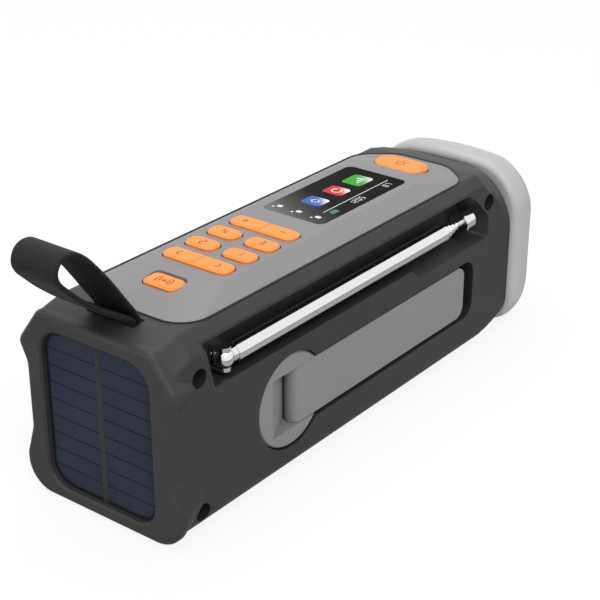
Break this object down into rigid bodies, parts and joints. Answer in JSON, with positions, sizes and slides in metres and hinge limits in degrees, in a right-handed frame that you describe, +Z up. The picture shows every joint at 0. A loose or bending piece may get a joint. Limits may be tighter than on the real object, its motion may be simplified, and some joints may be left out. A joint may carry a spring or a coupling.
{
  "type": "hand crank phone charger",
  "caption": "Long rounded charger with lamp lens, folding side crank, side antenna, display and keys on top, solar panel behind and a wrist strap.",
  "frame": {"origin": "middle of the flat underside of the housing, without the lens", "axes": "+X towards the lamp, -Y is the crank side, +Z up out of the key panel"},
  "size_m": [0.2072, 0.0578, 0.0861],
  "materials": {
    "body_black": "fine texture",
    "panel_grey": "fine texture",
    "display_glass": "polished",
    "display_panel": "smooth",
    "key_orange": "soft matt",
    "board_green": "solder mask",
    "switch_black": "smooth",
    "crank_grey": "fine texture",
    "knob_black": "fine texture",
    "steel": "plain",
    "gear_white": "smooth",
    "brass": "plain",
    "generator_steel": "plain",
    "magnet_grey": "sintered",
    "chrome": "polished",
    "cell_wrap": "shrink wrap",
    "cone_black": "paper",
    "cover_rubber": "soft matt",
    "solar_cell": "epoxy coated",
    "lens_frost": "frosted translucent",
    "reflector_bright": "metallised",
    "led_white": "smooth",
    "strap_black": "ribbed webbing"
  },
  "bodies": {
    "housing": {"left_housing": "body_black", "right_housing": "body_black", "top_panel": "panel_grey", "display_window": "display_glass", "display_module": "display_panel", "main_board": "board_green", "key_switches": "switch_black", "crank_disc": "crank_grey", "crank_hinge_pin": "steel", "crank_shaft": "steel", "gearbox_front_plate": "steel", "gearbox_back_plate": "steel", "gearbox_pillars": "steel", "idler_axle": "steel", "generator_can": "generator_steel", "antenna_base": "chrome", "antenna_pin": "chrome", "battery_cells": "cell_wrap", "battery_holder": "switch_black", "speaker_basket": "generator_steel", "speaker_cone": "cone_black", "usb_a_socket": "steel", "usb_c_socket": "steel", "solar_panel": "solar_cell", "lens": "lens_frost", "reflector": "reflector_bright", "led_board": "led_white", "housing_screws": "steel", "wrist_strap": "strap_black", "strap_pin": "steel"},
    "crank_arm": {"crank_arm": "crank_grey", "knob_screw": "steel"},
    "crank_knob": {"crank_knob": "knob_black"},
    "drive_gear": {"drive_gear": "gear_white"},
    "idler_gear": {"idler_gear": "gear_white"},
    "generator_rotor": {"rotor_pinion": "brass", "generator_rotor": "magnet_grey"},
    "antenna": {"antenna_knuckle": "chrome", "antenna_section_1": "chrome", "antenna_section_2": "chrome", "antenna_section_3": "chrome", "antenna_section_4": "chrome", "antenna_section_5": "chrome", "antenna_tip": "chrome"},
    "port_cover": {"port_cover": "cover_rubber"},
    "small_key_1": {"small_key_1": "key_orange"},
    "small_key_2": {"small_key_2": "key_orange"},
    "small_key_3": {"small_key_3": "key_orange"},
    "small_key_4": {"small_key_4": "key_orange"},
    "alarm_key": {"alarm_key": "key_orange"},
    "lamp_button": {"lamp_button": "key_orange"},
    "rear_rocker_key": {"rear_rocker_key": "key_orange"},
    "front_rocker_key": {"front_rocker_key": "key_orange"}
  },
  "joints": [
    {"name": "crank_fold", "type": "hinge", "parent": "housing", "child": "crank_arm", "pos_m": [-0.029, -0.0226, 0.0233], "axis": [0, 0, -1], "range_deg": [0, 153]},
    {"name": "knob_spin", "type": "hinge", "parent": "crank_arm", "child": "crank_knob", "pos_m": [0.048, -0.014, 0.0233], "axis": [0, 1, 0], "continuous": true},
    {"name": "drive_gear_spin", "type": "hinge", "parent": "housing", "child": "drive_gear", "pos_m": [-0.0338, -0.009, 0.0233], "axis": [0, 1, 0], "continuous": true},
    {"name": "idler_gear_spin", "type": "hinge", "parent": "housing", "child": "idler_gear", "pos_m": [-0.05283, -0.007, 0.03218], "axis": [0, 1, 0], "continuous": true},
    {"name": "generator_spin", "type": "hinge", "parent": "housing", "child": "generator_rotor", "pos_m": [-0.05987, 0, 0.01893], "axis": [0, 1, 0], "continuous": true},
    {"name": "antenna_tilt", "type": "hinge", "parent": "housing", "child": "antenna", "pos_m": [-0.059, -0.0228, 0.0464], "axis": [0, 0, -1], "range_deg": [0, 90]},
    {"name": "port_cover_hinge", "type": "hinge", "parent": "housing", "child": "port_cover", "pos_m": [0.019, 0.026, 0.04285], "axis": [-1, 0, 0], "range_deg": [0, 100]},
    {"name": "small_key_1_press", "type": "slide", "parent": "housing", "child": "small_key_1", "axis": [0, 0, -1], "range_m": [0, 0.0008], "stiffness_N_per_m": 1500},
    {"name": "small_key_2_press", "type": "slide", "parent": "housing", "child": "small_key_2", "axis": [0, 0, -1], "range_m": [0, 0.0008], "stiffness_N_per_m": 1500},
    {"name": "small_key_3_press", "type": "slide", "parent": "housing", "child": "small_key_3", "axis": [0, 0, -1], "range_m": [0, 0.0008], "stiffness_N_per_m": 1500},
    {"name": "small_key_4_press", "type": "slide", "parent": "housing", "child": "small_key_4", "axis": [0, 0, -1], "range_m": [0, 0.0008], "stiffness_N_per_m": 1500},
    {"name": "alarm_key_press", "type": "slide", "parent": "housing", "child": "alarm_key", "axis": [0, 0, -1], "range_m": [0, 0.0008], "stiffness_N_per_m": 1500},
    {"name": "lamp_button_press", "type": "slide", "parent": "housing", "child": "lamp_button", "axis": [0, 0, -1], "range_m": [0, 0.0008], "stiffness_N_per_m": 1500},
    {"name": "rear_rocker_key_tilt", "type": "hinge", "parent": "housing", "child": "rear_rocker_key", "pos_m": [-0.0425, 0, 0.0598], "axis": [1, 0, 0], "range_deg": [-3, 3], "stiffness_Nm_per_rad": 0.2},
    {"name": "front_rocker_key_tilt", "type": "hinge", "parent": "housing", "child": "front_rocker_key", "pos_m": [-0.0135, 0, 0.0598], "axis": [1, 0, 0], "range_deg": [-3, 3], "stiffness_Nm_per_rad": 0.2}
  ],
  "couplings": [
    {"joint": "idler_gear_spin", "follows": "generator_spin", "ratio": -0.25},
    {"joint": "drive_gear_spin", "follows": "generator_spin", "ratio": 0.0625}
  ]
}
